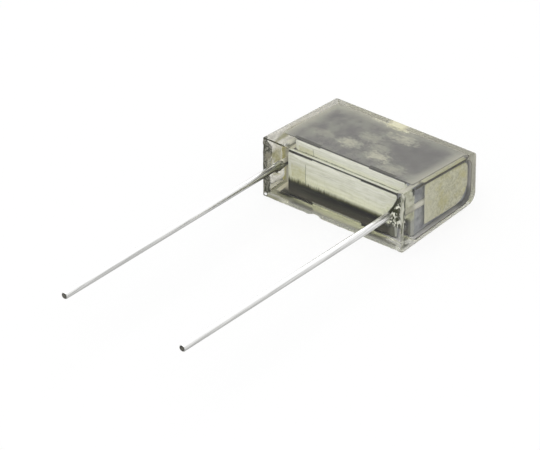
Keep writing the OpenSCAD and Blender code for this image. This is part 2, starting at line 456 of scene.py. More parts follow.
def paper_roll(material):
    """Flattened paper roll with shallow creases along its sides."""
    outline = roll_outline((60, 20, 8, 20))
    middle = outline.mean(axis=0)
    rings = []
    for x in np.linspace(ROLL_LOW[0], ROLL_HIGH[0], ROLL_RINGS):
        ring = []
        for y, z in outline:
            crease = ripple(x, y * 12, z * 12, 4.0) + 0.6 * ripple(x, y * 4, z * 4, 0.8, 3.0)
            drop = CREASE_D * (1 + crease)
            inward = unit(middle - np.array((y, z)))
            ring.append((x, y + inward[0] * drop, z + inward[1] * drop))
        rings.append(np.array(ring))
    return add_piece("paper_roll", loft(rings, close_with_fan), material, "winding")


def lumpy_face(side, depth, outline, lump):
    """Ring of a layer's outer face, with its grain."""
    ring = []
    for y, z in outline:
        grain = ripple(y, z, side, 0.5) + ripple(y, z, side, 0.2, 5.0)
        ring.append((side * (depth + lump * (grain - 2) / 2), y, z))
    return np.array(ring)


def end_layer(name, side, inside, outside, inner, outline_at, lump, material, node):
    """A layer on one end of the roll, grainy on its outer face and rounded at its outer edge."""
    rings = [lumpy_face(side, inside, inner, 0)]
    for t in [math.pi / 2 * k / 5 for k in range(6)]:
        outline = outline_at(LAYER_EDGE_R * (1 - math.cos(t)))
        depth = outside - LAYER_EDGE_R + LAYER_EDGE_R * math.sin(t)
        rings.append(lumpy_face(side, depth, outline, lump * math.sin(t)))
    last = outline_at(LAYER_EDGE_R)
    for share in np.linspace(1, 0, 26)[1:-1]:
        rings.append(lumpy_face(side, outside, drawn_towards_middle(last, share), lump))
    return add_piece(name, loft(rings, close_with_fan), material, node)


def spray_end(name, side, material, node):
    """Sprayed metal over one end of the roll."""

    def outline(drawn_in):
        return drawn_towards_middle(roll_outline(), 1 - drawn_in / 3)

    inside = roll_end(side)
    outside = inside + SPRAY_T
    return end_layer(
        name, side, inside, outside, outline(0), outline, SPRAY_GRAIN_D,
        material, node,
    )


def contact_end(name, side, material, node):
    """Contact metal that buries the inner end of a lead, set slightly into the sprayed metal."""
    inside = roll_end(side) + SPRAY_T - CONTACT_SEAT
    outside = CONTACT_HIGH[0]
    inner = contact_outline(0, CONTACT_SLANT)
    return end_layer(
        name, side, inside, outside, inner, contact_outline, CONTACT_GRAIN_D,
        material, node,
    )


# Leads


def lead_section(place, length):
    """Half width along X and half height of the wire at a place along its axis from the collar's top."""
    entering = min(max(-place / COIN_RUN, 0), 1)
    leaving = min(max((place + COIN_L) / COIN_RUN, 0), 1)
    coined = min(entering, leaving)
    width = LEAD_R + (COIN_T / 2 - LEAD_R) * coined
    height = LEAD_R + (COIN_W / 2 - LEAD_R) * coined
    if place > length:
        cut = (place - length) / TIP_BEVEL
        width -= TIP_BEVEL * cut
        height -= TIP_BEVEL * cut
    return width, height


def lead_wire(mount, materials):
    """Tinned wire with a coined anchor stretch inside the block and a sheared, bevelled tip."""
    name = mount["name"]
    length = mount["dims"]["length_mm"]
    axis = np.array(mount["axis"])
    collar_top = np.array(mount["pos_m"]) / MM - axis * length / 2
    inner = (box_mm(name)[1][1] - collar_top[1]) / axis[1]
    places = list(np.linspace(inner, -COIN_L - 0.2, 12))
    places += list(np.linspace(-COIN_L - COIN_RUN, 0, 24))
    places += list(np.linspace(0.1, length, 140))
    places += [length + TIP_BEVEL * k / 3 for k in (1, 2, 3)]
    across = np.array((1.0, 0.0, 0.0))
    upright = np.cross(across, axis)
    turns = np.linspace(0, 2 * math.pi, 33)[:-1]
    rings = []
    for place in places:
        width, height = lead_section(place, length)
        middle = collar_top + axis * place
        worn = 1 - WIRE_WEAR * abs(ripple(place, LEAD_X, middle[0], 1.5))
        ring = [
            middle + across * width * worn * math.cos(t) + upright * height * worn * math.sin(t)
            for t in turns
        ]
        rings.append(np.array(ring))
    mesh = loft(rings, close_with_fan)
    piece = add_piece(name + "_wire", mesh, materials[0], name, sharp=40)
    piece.data.materials.append(materials[1])
    for face in piece.data.polygons:
        if np.dot(np.array(face.normal), axis) > 0.9:
            face.material_index = 1
    return piece


# Nodes of materials


def add(tree, kind, inputs=None, **settings):
    """Adds a shader node, sets what it is told and fills its inputs with values or other nodes' sockets."""
    node = tree.nodes.new("ShaderNode" + kind)
    for key, value in settings.items():
        setattr(node, key, value)
    for key, value in (inputs or {}).items():
        if isinstance(value, bpy.types.NodeSocket):
            tree.links.new(value, node.inputs[key])
        else:
            node.inputs[key].default_value = value
    return node


def joined(kind, inputs, **settings):
    """Adds a node to the tree that the sockets among its inputs belong to."""
    tree = next(v.id_data for v in inputs.values() if isinstance(v, bpy.types.NodeSocket))
    return add(tree, kind, inputs, **settings)


def vector_maths(operation, inputs):
    """Vectors put together."""
    return joined("VectorMath", inputs, operation=operation).outputs[0]


def new_material(name):
    """An empty material, its output node and its object coordinates in millimetres."""
    material = bpy.data.materials.new(name)
    material.use_nodes = True
    tree = material.node_tree
    tree.nodes.clear()
    output = add(tree, "OutputMaterial")
    place = add(tree, "TexCoord")
    scaled = vector_maths("SCALE", {0: place.outputs["Object"], "Scale": 1 / MM})
    return material, output, scaled


def split(place):
    """The three coordinates of a place."""
    return joined("SeparateXYZ", {0: place}).outputs


def stretched(place, scale):
    """Coordinates stretched by a factor along each axis."""
    return joined("Mapping", {"Vector": place, "Scale": scale}).outputs[0]


def wandering(place, scale, reach):
    """A place moved about by noise, so that what is drawn by it gets a rough outline."""
    texture = joined("TexNoise", {"Vector": place, "Scale": scale, "Detail": 4})
    centred = vector_maths("SUBTRACT", {0: texture.outputs["Color"], 1: (0.5, 0.5, 0.5)})
    moved = vector_maths("SCALE", {0: centred, "Scale": reach})
    return vector_maths("ADD", {0: place, 1: moved})


def noise_value(place, scale, detail=4, roughness=0.6):
    """Noise from 0 to 1 with about scale features to the millimetre."""
    inputs = {"Vector": place, "Scale": scale, "Detail": detail, "Roughness": roughness}
    return joined("TexNoise", inputs).outputs["Fac"]


def maths(operation, first, second):
    """Two values put together."""
    return joined("Math", {0: first, 1: second}, operation=operation).outputs[0]


def minus(first, second):
    """The first value less the second."""
    return maths("SUBTRACT", first, second)


def unsigned(value):
    """A value without its sign."""
    return maths("ABSOLUTE", value, 0.0)


def highest(*values):
    """The highest of several values."""
    top = values[0]
    for value in values[1:]:
        top = maths("MAXIMUM", top, value)
    return top


def product(*values):
    """Several values multiplied together."""
    whole = values[0]
    for value in values[1:]:
        whole = maths("MULTIPLY", whole, value)
    return whole


def ramp(value, low, high, to_low=0.0, to_high=1.0):
    """A value carried smoothly from one range to another."""
    inputs = {"Value": value, "From Min": low, "From Max": high, "To Min": to_low, "To Max": to_high}
    return joined("MapRange", inputs, interpolation_type="SMOOTHSTEP").outputs[0]


def fall(value, low, high):
    """1 below a range and 0 above it, with a smooth fall between."""
    return ramp(value, low, high, 1.0, 0.0)


def band(value, low, high, soft):
    """1 between two limits and 0 outside, with soft ends."""
    rise = ramp(value, low - soft, low + soft)
    return product(rise, fall(value, high - soft, high + soft))


def spot(place, centre, radius):
    """1 at a point and 0 beyond a radius from it."""
    gap = joined("VectorMath", {0: place, 1: centre}, operation="DISTANCE")
    return fall(gap.outputs["Value"], radius * 0.2, radius)


def mixed(share, first, second):
    """Colour between two colours."""
    inputs = {0: share, 6: first, 7: second}
    return joined("Mix", inputs, data_type="RGBA").outputs[2]


def painted(share, under, paint):
    """A colour covered by paint wherever the paint has more than a faint share."""
    return mixed(ramp(share, 0.0, 0.35), under, paint)


def bumped(height, distance):
    """Normal of a surface raised by a height, in millimetres."""
    inputs = {"Height": height, "Distance": distance * MM, "Strength": 1.0}
    return joined("Bump", inputs).outputs[0]


def give_surface(output, colour, fine, roughness, bump, height=None, specular=0.1, metallic=0.0):
    """Gives a material a surface with the roughness of a fine noise, raised by it or by a height."""
    inputs = {
        "Base Color": colour,
        "Roughness": ramp(fine, 0.2, 0.8, *roughness),
        "Metallic": metallic,
        "Specular IOR Level": specular,
        "Normal": bumped(fine if height is None else height, bump),
    }
    surface = joined("BsdfPrincipled", inputs)
    output.id_data.links.new(surface.outputs[0], output.inputs["Surface"])


# Clear resin

RESIN_IOR = 1.52
RESIN_DENSITY = 28.0
# Crinkled resin at the right lead: place and slope of its upper left bound, lowest and highest place
CRINKLE_X = LEAD_X - 0.05
CRINKLE_LEAN = 0.45
CRINKLE_Z = (2.9, 6.8)
# Painted shade along the lead face's left edge: its usual width, and how much wider it is above and below
EDGE_SHADE_W = 0.5
EDGE_SHADE_MORE_ABOVE = 0.65
EDGE_SHADE_MORE_BELOW = 0.4


def resin_sides(x, y, z):
    """Shares of the casting's left end, right end, back and lower side."""
    return (
        fall(x, 0.03 - HALF_L, 0.15 - HALF_L),
        ramp(x, HALF_L - 0.12, HALF_L - 0.02),
        ramp(y, BACK_Y - 0.2, BACK_Y - 0.05),
        fall(z, 0.05, 0.2),
    )


def facet_glint_and_shade(place):
    """Colours of the crinkled resin's small angular facets, painted highlights and painted shade, darker
    above the lead.
    """
    x, y, z = split(place)
    spread = stretched(place, (5.0, 5.0, 2.8))
    cells = joined("TexVoronoi", {"Vector": spread, "Scale": 1.0})
    facets = joined("SeparateColor", {0: cells.outputs["Color"]}).outputs[0]
    facets = minus(facets, ramp(z, LEAD_Z - 0.2, LEAD_Z + 0.5, 0.0, 0.25))
    return mixed(ramp(facets, 0.25, 0.8), srgb(56, 59, 40), srgb(242, 242, 226))


def crinkles(place, on_front):
    """Painted highlights and shade on the crinkled resin between the right lead and the upright edge, and
    the fold that bounds it, painted as a dark line of shade.

    Both are given as a share and a colour.
    """
    x, y, z = split(wandering(place, 3.0, 0.2))
    lean = product(minus(z, LEAD_Z), CRINKLE_LEAN)
    beside = minus(minus(x, CRINKLE_X), lean)
    crinkled = product(
        on_front,
        ramp(beside, -0.1, 0.1),
        ramp(x, CRINKLE_X - 0.1, CRINKLE_X + 0.2),
        band(z, *CRINKLE_Z, 0.25),
        0.8,
    )
    # the fold: a dark line of painted shade
    fold = product(on_front, band(beside, -0.15, 0.1, 0.08), band(z, LEAD_Z, 6.4, 0.3), 0.9)
    return (crinkled, facet_glint_and_shade(place)), (fold, srgb(40, 42, 27))


def chafed_edge_and_highlight(place):
    """Share and colours of the chafed, scored upright edge at the right of the lead face: dark scores and
    pale streaks painted as the edge's highlight.
    """
    x, y, z = split(place)
    uneven = ramp(noise_value(place, 1.3, detail=3), 0.3, 0.7, -0.2, 0.2)
    share = product(
        ramp(maths("ADD", x, uneven), HALF_L - 0.45, HALF_L - 0.25),
        fall(y, FRONT_Y + 0.1, FRONT_Y + 0.25),
        ramp(z, 1.8, 2.6, 0.3, 0.7),
    )
    streaks = noise_value(stretched(place, (5.0, 5.0, 0.35)), 1.0, detail=1)
    # pale streaks: painted highlight; dark streaks: scores
    return share, mixed(ramp(streaks, 0.5, 0.62), srgb(202, 202, 188), srgb(92, 94, 70))


def top_edge_shade_line(x, y, z):
    """Share and colour of the painted shade line along the left stretch of the upper front edge."""
    share = product(
        fall(y, FRONT_Y + 0.06, FRONT_Y + 0.12),
        ramp(z, FRONT_T - 0.14, FRONT_T - 0.08),
        ramp(x, -6.8, -6.0, 0.8, 0.0),
    )
    # painted shade line
    return share, srgb(54, 55, 42)


def corner_glint(x, z, on_front):
    """Share and colour of the small white painted highlight at the lead face's lower left corner."""
    across = band(x, 0.25 - HALF_L, 0.5 - HALF_L, 0.07)
    # pure white painted highlight
    return product(on_front, across, band(z, 0.26, 0.46, 0.06), 0.9), srgb(255, 255, 255)


def back_edge_light_patch(place):
    """Share and colour of the pale patch painted on the top's back edge, painted light that brightens the
    dim sheet fold under it.
    """
    x, y, z = split(wandering(place, 1.5, 0.8))
    share = product(band(x, -1.5, 0.5, 0.4), band(y, 5.2, 6.35, 0.35), ramp(z, 5.5, 5.9), 0.65)
    # painted light over the dim back fold
    return share, srgb(240, 236, 204)


def left_edge_shade(place, on_front):
    """Share and colour of the painted shade along the lead face's left edge, dark and speckled but brown in
    the middle.
    """
    x, y, z = split(wandering(place, 1.6, 0.5))
    above = product(ramp(z, 4.6, 5.4), fall(z, 6.3, 7.3), EDGE_SHADE_MORE_ABOVE)
    below = product(band(z, 0.6, 2.8, 0.3), EDGE_SHADE_MORE_BELOW)
    width = maths("ADD", maths("ADD", above, below), EDGE_SHADE_W)
    past = minus(maths("ADD", x, HALF_L), width)
    share = product(on_front, ramp(past, -0.2, 0.2, 0.85, 0.0), ramp(z, 0.0, 0.15))
    speckle = fall(noise_value(place, 5.0, detail=4), 0.46, 0.58)
    # dark speckled painted shade, brown in the middle
    dark = mixed(speckle, srgb(136, 134, 122), srgb(58, 59, 48))
    brown = product(band(z, 4.6, 5.5, 0.2), ramp(x, 0.3 - HALF_L, 0.5 - HALF_L))
    return share, mixed(brown, dark, srgb(132, 128, 110))


def left_end_tint(place):
    """Colours of the dull left end: pale, with an olive patch and a line along its foot."""
    x, y, z = split(wandering(place, 1.2, 0.4))
    depth = minus(y, FRONT_Y)
    cloud = ramp(noise_value(place, 0.9, detail=3), 0.35, 0.65)
    tint = mixed(cloud, srgb(255, 252, 246), srgb(216, 212, 204))
    tint = mixed(ramp(depth, 2.5, 6.0, 0.0, 0.8), tint, srgb(196, 194, 186))
    slanted = minus(depth, product(z, 1.3))
    olive = product(ramp(slanted, -3.6, -1.6), band(z, 2.7, 4.9, 0.5), fall(depth, 4.0, 8.5))
    tint = mixed(olive, tint, srgb(148, 144, 95))
    foot = maths("ADD", z, product(depth, 0.1))
    tint = mixed(fall(foot, 0.95, 1.05), tint, srgb(206, 203, 184))
    over = minus(foot, ramp(depth, 1.5, 3.5, 1.4, 1.12))
    line = product(ramp(foot, 0.95, 1.05), fall(over, -0.05, 0.05))
    return mixed(line, tint, srgb(104, 102, 90))


def right_end_darkening(place, on_right):
    """Share of the darker tint on the right end near the lead face, faint below."""
    x, y, z = split(place)
    near = fall(y, FRONT_Y + 1.6, FRONT_Y + 2.4)
    high_up = ramp(z, 2.8, 3.8, 0.15, 1.0)
    blotch = noise_value(place, 1.6, detail=5)
    return product(on_right, near, high_up, ramp(blotch, 0.3, 0.7, 0.55, 1.0))


def dull_right_foot(x, y, on_bottom):
    """Share of the dull part of the lower side, under the right end."""
    inner = product(ramp(x, HALF_L - 4.0, HALF_L - 2.5), ramp(y, FRONT_Y + 1.2, FRONT_Y + 2.2))
    return product(on_bottom, highest(ramp(x, HALF_L - 1.8, HALF_L - 0.8), inner))


def resin_surface(place):
    """Dullness, milkiness and tint of the casting: dull where moulded, with painted shade, painted
    highlights and a patch of painted light, and a darker tint on the right end.
    """
    x, y, z = split(place)
    on_left, on_right, on_back, on_bottom = resin_sides(x, y, z)
    on_front = fall(y, FRONT_Y + 0.2, FRONT_Y + 0.6)
    low_rim = product(fall(z, 0.3, 0.8), on_front)
    right_foot = dull_right_foot(x, y, on_bottom)
    fine = noise_value(place, 9.0, detail=3)
    dull = highest(
        product(highest(on_back, on_bottom), 0.3),
        highest(on_left, right_foot),
        product(low_rim, ramp(fine, 0.3, 0.7, 0.1, 0.45)),
    )
    under_left = product(highest(on_bottom, low_rim), ramp(x, -7.5, -5.5, 1.0, 0.1))
    edge_shade, edge_shade_tint = left_edge_shade(place, on_front)
    marks = (
        *crinkles(place, on_front),
        chafed_edge_and_highlight(place),
        top_edge_shade_line(x, y, z),
        corner_glint(x, z, on_front),
        back_edge_light_patch(place),
    )
    haze = product(minus(dull, on_left), 0.2)
    rim_haze = product(low_rim, 0.3)
    milky = highest(haze, rim_haze, under_left, edge_shade, *(share for share, paint in marks))
    tint = mixed(product(dull, 2.0), srgb(253, 253, 250), srgb(245, 245, 226))
    sides = (
        (under_left, srgb(146, 145, 124)),
        (on_back, srgb(188, 185, 176)),
        (product(on_bottom, ramp(x, 2.0, 5.0)), srgb(228, 229, 208)),
        (right_foot, srgb(226, 225, 222)),
        (on_left, left_end_tint(place)),
    )
    for share, colour in sides:
        tint = mixed(share, tint, colour)
    tint = painted(edge_shade, tint, edge_shade_tint)
    # darker tint on the right end near the lead face
    tint = mixed(right_end_darkening(place, on_right), tint, srgb(138, 138, 112))
    for share, paint in marks:
        tint = painted(share, tint, paint)
    return dull, milky, tint


def resin_material():
    """Clear cast epoxy with a faint olive cast, glossy, that lets the lamps reach what it holds."""
    material, output, place = new_material("clear_resin")
    tree = material.node_tree
    waves = noise_value(place, 0.8, detail=2)
    polish = ramp(noise_value(place, 9.0, detail=3), 0.3, 0.8, 0.01, 0.05)
    dull, milky, tint = resin_surface(place)
    inputs = {
        "Base Color": tint,
        "Roughness": highest(polish, dull),
        "IOR": RESIN_IOR,
        "Specular Tint": (0.4, 0.4, 0.4, 1.0),
        "Transmission Weight": minus(1.0, milky),
        "Normal": bumped(waves, 0.02),
    }
    skin = joined("BsdfPrincipled", inputs)
    clear = add(tree, "BsdfTransparent", {"Color": srgb(250, 250, 246)})
    path = add(tree, "LightPath")
    shaded = path.outputs["Is Shadow Ray"]
    both = joined("MixShader", {0: shaded, 1: skin.outputs[0], 2: clear.outputs[0]})
    cast = {"Color": (0.86, 0.87, 0.68, 1.0), "Density": RESIN_DENSITY}
    inside = add(tree, "VolumeAbsorption", cast)
    tree.links.new(both.outputs[0], output.inputs["Surface"])
    tree.links.new(inside.outputs[0], output.inputs["Volume"])
    return material


# Grey sheet

# Pale patches on the folded sheet's upper side: place along X and Y, radius along each and strength
SHEET_PATCHES = (
    (-2.9, 5.6, 0.9, 0.5, 0.5),
    (-0.4, 5.8, 1.7, 0.9, 1.0),
    (-2.0, -0.9, 1.3, 1.0, 0.4),
    (2.1, -1.3, 1.4, 0.9, 0.55),
    (1.7, 3.6, 1.9, 0.9, 0.4),
    (-1.0, 1.6, 1.5, 0.9, 0.25),
    (-5.4, -1.0, 1.4, 0.8, 0.2),
    (1.2, 0.3, 1.4, 0.8, 0.25),
    (5.0, -2.6, 1.6, 1.1, 0.25),
)


def ragged_patch(x, y, streaks, patch):
    """Share of a patch with a ragged, streaky outline."""
    px, py, reach_x, reach_y, strength = patch
    across = maths("DIVIDE", minus(x, px), reach_x)
    along = maths("DIVIDE", minus(y, py), reach_y)
    gap = maths("ADD", maths("POWER", across, 2.0), maths("POWER", along, 2.0))
    return ramp(minus(product(streaks, 7.0), gap), 1.7, 4.0, 0.0, strength)


def sheet_top_colour(place):
    """Grey of the sheet's upper side, paler towards its folds and ends, with ragged cream patches and
    painted light on its back fold.
    """
    x, y, z = split(place)
    cloud = noise_value(stretched(place, (0.7, 0.5, 0.5)), 1.0, detail=5)
    streaks = noise_value(stretched(place, (1.8, 3.2, 1.0)), 1.0, detail=6, roughness=0.75)
    grey = mixed(ramp(cloud, 0.35, 0.68), srgb(117, 115, 116), srgb(146, 146, 139))
    shade = product(spot(place, (5.2, 1.5, 6.1), 5.0), 0.7)
    grey = mixed(shade, grey, srgb(108, 106, 108))
    far = product(ramp(y, 3.5, 6.2), ramp(x, 0.0, 4.0, 1.1, 0.4))
    ends = ramp(unsigned(x), 6.9, 8.7)
    grey = mixed(product(highest(far, ends), 0.8), grey, srgb(198, 196, 182))
    for patch in SHEET_PATCHES:
        grey = mixed(ragged_patch(x, y, streaks, patch), grey, srgb(254, 252, 226))
    # painted light on the back fold, which faces away from the lamps
    back = ramp(y, BACK_Y - 0.9, BACK_Y - 0.55)
    back = product(back, ramp(x, 0.0, 4.0, 0.8, 0.6))
    return mixed(back, grey, srgb(236, 235, 222))


def sheet_material():
    """The folded sheet's outer side: grey above, painted pale below as painted light from beneath, with
    dark cut ends and a painted shadow along the front edge beside the cut-outs.
    """
    material, output, place = new_material("wrap_sheet")
    x, y, z = split(place)
    fine = noise_value(place, 7.0, detail=6)
    # painted light: the underside is made pale as if lit from beneath
    under = fall(z, WRAP_UNDER + 0.1, WRAP_UNDER + 0.8)
    colour = mixed(under, sheet_top_colour(place), srgb(244, 245, 214))
    cut = ramp(x, WRAP_HIGH[0] - 0.04, WRAP_HIGH[0] - 0.01)
    cut_colour = mixed(ramp(y, 4.5, 5.5), srgb(66, 64, 50), srgb(110, 108, 98))
    colour = mixed(cut, colour, cut_colour)
    beside = unsigned(minus(x, SHEET_CUT_MIDDLE))
    # painted shadow along the front edge beside the cut-outs
    lip_shadow = product(
        fall(y, WRAP_LOW[1] + 0.35, WRAP_LOW[1] + 0.5),
        band(beside, NOTCH_L / 2, 6.6, 0.05),
        0.85,
    )
    colour = mixed(lip_shadow, colour, srgb(62, 60, 56))
    dust = ramp(fine, 0.35, 0.75, 0.0, 0.25)
    colour = mixed(dust, colour, srgb(180, 178, 168))
    give_surface(output, colour, fine, roughness=(0.55, 0.75), bump=0.015)
    return material


def sheet_inside_material():
    """The folded sheet's inner side, with painted shade along the roll, under its upper front edge and in
    its lower fold, and paler at both ends.
    """
    material, output, place = new_material("wrap_sheet_inside")
    x, y, z = split(place)
    cloud = noise_value(place, 0.8)
    fine = noise_value(place, 6.0, detail=6)
    grey = mixed(ramp(cloud, 0.3, 0.7), srgb(164, 163, 166), srgb(200, 199, 200))
    grey = mixed(fall(x, -7.6, -7.0), grey, srgb(224, 221, 204))
    low_fold = product(ramp(y, 3.2, 4.4), fall(z, 1.2, 2.4))
    right = product(ramp(x, 6.8, 7.2, 0.0, 0.8), minus(1.0, low_fold))
    grey = mixed(right, grey, srgb(228, 226, 230))
    left = product(ramp(x, -7.2, -6.6, 0.8, 0.0), ramp(y, -3.0, -1.5))
    left = highest(left, ramp(x, -8.05, -7.9, 0.95, 0.0))
    along = minus(fall(x, 5.0, 7.0), left)
    edge = product(ramp(z, 5.0, 5.5), fall(y, WRAP_LOW[1], WRAP_LOW[1] + 1.0))
    # painted shade where the sheet lies over the roll, under its upper front edge and in its lower fold
    dark = highest(along, edge, product(low_fold, 0.5))
    colour = mixed(product(dark, 0.92), grey, srgb(56, 55, 46))
    give_surface(output, colour, fine, roughness=(0.6, 0.8), bump=0.02)
    return material


# Paper

# Cream paper on the roll's front: its frayed lower edge, and a yellowed stretch near one end
PAPER_EDGE_Z = 2.6
YELLOW_X = (-6.4, -4.5)
YELLOW_Z = (2.3, 4.5)


def along_cut(x, soft):
    """1 along the sheet's cut-outs and 0 beside them."""
    return band(x, SHEET_CUT_MIDDLE - NOTCH_L / 2, SHEET_CUT_MIDDLE + NOTCH_L / 2, soft)


def cream_paper(place, turns, wrinkles):
    """Cream paper with fine turns, wrinkled below, and a yellowed stretch that ends at a dark line."""
    x, y, z = split(place)
    cream = mixed(ramp(turns, 0.3, 0.65), srgb(228, 229, 211), srgb(255, 255, 247))
    lower = product(fall(z, PAPER_EDGE_Z, 4.6), 0.5)
    cream = mixed(lower, cream, srgb(250, 251, 216))
    streak = product(ramp(wrinkles, 0.5, 0.7), lower)
    cream = mixed(streak, cream, srgb(188, 190, 148))
    cloud = noise_value(stretched(place, (0.5, 1.0, 1.4)), 1.0)
    cream = mixed(ramp(cloud, 0.45, 0.75, 0.0, 0.3), cream, srgb(176, 176, 156))
    rough_x, rough_y, rough_z = split(wandering(place, 2.0, 0.25))
    yellow = product(
        band(rough_x, *YELLOW_X, 0.06),
        band(rough_z, *YELLOW_Z, 0.15),
        ramp(noise_value(place, 2.2, detail=6), 0.3, 0.7, 0.2, 0.8),
    )
    cream = mixed(yellow, cream, srgb(210, 208, 164))
    line = band(x, YELLOW_X[1] - 0.03, YELLOW_X[1] + 0.06, 0.03)
    line = product(line, band(z, 2.3, 5.0, 0.2), 0.6)
    return mixed(line, cream, srgb(110, 106, 80))


def dark_foot(place, turns, frayed):
    """The roll's dark lower part, pale at the sheet's cut-out and towards the right end."""
    x, y, z = split(place)
    dark = mixed(ramp(z, 0.9, 2.2), srgb(68, 66, 55), srgb(2, 2, 1))
    layers = (
        (ramp(turns, 0.45, 0.75, 0.0, 0.25), srgb(110, 108, 94)),
        (ramp(x, -7.0, -2.5, 0.2, 0.0), srgb(96, 94, 84)),
        (product(fall(z, 0.55, 0.85), along_cut(x, 0.05)), srgb(206, 205, 188)),
        (ramp(frayed, PAPER_EDGE_Z - 0.5, PAPER_EDGE_Z), srgb(92, 93, 62)),
        (ramp(x, 6.2, 6.9, 0.0, 0.5), srgb(142, 143, 131)),
        (ramp(x, ROLL_HIGH[0] + 0.15, ROLL_HIGH[0] + 0.3, 0.0, 0.85), srgb(190, 191, 186)),
    )
    for share, colour in layers:
        dark = mixed(share, dark, colour)
    return dark


def paper_colour(place):
    """Colour of the roll, cream paper frayed below over a dark lower part, with painted shade in the groove
    under the sheet's front edge, and its fine turns.
    """
    x, y, z = split(place)
    swept = wandering(place, 0.7, 0.5)
    turns = noise_value(stretched(swept, (0.15, 2.5, 4.0)), 1.0, detail=6, roughness=0.65)
    wrinkles = noise_value(stretched(place, (9.0, 0.5, 0.6)), 1.0, detail=4)
    bristle = product(minus(wrinkles, 0.5), ramp(x, -5.0, 3.0, 1.5, 0.35))
    frayed = maths("ADD", z, bristle)
    covered = ramp(frayed, PAPER_EDGE_Z - 0.25, PAPER_EDGE_Z + 0.35)
    dark = dark_foot(place, turns, frayed)
    colour = mixed(covered, dark, cream_paper(place, turns, wrinkles))
    behind = minus(y, product(along_cut(x, 0.02), NOTCH_D / 2))
    # painted shade in the groove under the sheet's front edge
    groove_shade = ramp(behind, WRAP_LOW[1] - 0.02, WRAP_LOW[1] + 0.08, 0.0, 0.95)
    groove_shade = product(groove_shade, ramp(z, 5.2, 5.6))
    return mixed(groove_shade, colour, srgb(26, 26, 16)), turns


def paper_material():
    """The roll's paper, dull and wrinkled."""
    material, output, place = new_material("paper_roll")
    fine = noise_value(place, 9.0, detail=6)
    colour, turns = paper_colour(place)
    height = maths("ADD", turns, product(fine, 0.3))
    give_surface(output, colour, fine, roughness=(0.55, 0.75), bump=0.04, height=height)
    return material


# Metal

# Bare paper left in front of the sprayed metal, from the lead face
SPRAY_FRONT = 3.0


def spray_material():
    """Dull sprayed metal, with the paper bare on its rim and near the roll's front."""
    material, output, place = new_material("sprayed_metal")
    cloud = noise_value(place, 1.0)
    fine = noise_value(place, 9.0, detail=6)
    grey = mixed(ramp(cloud, 0.3, 0.7), srgb(134, 136, 144), srgb(184, 186, 190))
    paper = paper_colour(place)[0]
    rough_x, rough_y, rough_z = split(wandering(place, 2.5, 0.35))
    far = unsigned(minus(rough_x, (ROLL_LOW[0] + ROLL_HIGH[0]) / 2))
    half = (ROLL_HIGH[0] - ROLL_LOW[0]) / 2 + SPRAY_T
    begins = FRONT_Y + SPRAY_FRONT
    sprayed = product(
        ramp(rough_y, begins - 0.05, begins + 0.05), ramp(far, half - 0.3, half - 0.15)
    )
    give_surface(output, mixed(sprayed, paper, grey), fine, roughness=(0.5, 0.7), bump=0.04)
    return material


def contact_material(name, low, high, front):
    """Grainy contact metal between two colours, with a front side of its own colour."""
    material, output, place = new_material(name)
    x, y, z = split(place)
    cloud = noise_value(place, 0.6)
    fine = noise_value(place, 4.5, detail=6, roughness=0.75)
    colour = mixed(ramp(fine, 0.3, 0.7), low, high)
    colour = mixed(ramp(cloud, 0.45, 0.7, 0.0, 0.7), colour, srgb(200, 194, 132))
    haze = ramp(noise_value(place, 1.1, detail=3), 0.5, 0.75, 0.0, 0.6)
    colour = mixed(haze, colour, high)
    begins = FRONT_Y + CONTACT_FRONT
    colour = mixed(ramp(y, begins, begins + 3.0, 0.5, 0.0), colour, high)
    colour = mixed(fall(y, begins + 0.05, begins + 0.2), colour, front)
    give_surface(output, colour, fine, roughness=(0.5, 0.7), bump=0.06, specular=0.2)
    return material


def contact_materials():
    """Contact metal of the left end, painted paler as painted light on that end, with an olive front, and
    of the right end.
    """
    khaki = srgb(171, 169, 139), srgb(229, 227, 205)
    # paler copy for the left end: painted light
    pale = srgb(206, 202, 190), srgb(244, 241, 234)
    return (
        contact_material("contact_metal_left", *pale, srgb(212, 206, 150)),
        contact_material("contact_metal_right", *khaki, srgb(212, 209, 190)),
    )


def tin_colour(x, y, above, lines, on_left):
    """Tin with fine drawing lines, with painted shade on its lower side and along the left wire's
    underside, a painted highlight on its upper side, and darker near the block by a painted dark reflection
    and a dark streak.
    """
    tin = mixed(ramp(lines, 0.35, 0.65), srgb(200, 200, 198), srgb(244, 244, 242))
    away = highest(on_left, ramp(y, FRONT_Y - 9, FRONT_Y - 3, 1.0, 0.3))
    # painted shade on the lower side
    lower = product(away, fall(above, -0.3, 0.35))
    # painted shade along the left wire's underside
    left_underside_shade = product(on_left, ramp(y, FRONT_Y - 16, FRONT_Y - 7), fall(above, -0.3, -0.05))
    # painted highlight on the upper side
    upper_highlight = product(ramp(above, 0.22, 0.32), ramp(y, FRONT_Y - 9, FRONT_Y - 4, 1.0, 0.2))
    # painted dark reflection on the left wire in and near the block
    dark_block_reflection = product(
        on_left, ramp(y, FRONT_Y - 2.5, FRONT_Y - 0.3), ramp(above, 0.2, 0.4, 1.0, 0.2)
    )
    streak = product(
        ramp(x, -1.0, 1.0, 0.0, 0.75),
        ramp(y, FRONT_Y - 2.2, FRONT_Y - 1.0),
        ramp(above, 0.33, 0.37),
        ramp(lines, 0.35, 0.6),
    )
    layers = (
        (lower, srgb(156, 156, 153)),
        (left_underside_shade, srgb(52, 52, 46)),
        (upper_highlight, srgb(255, 255, 255)),
        (dark_block_reflection, srgb(124, 124, 112)),
        (streak, srgb(88, 88, 78)),
    )
    for share, colour in layers:
        tin = mixed(share, tin, colour)
    return tin


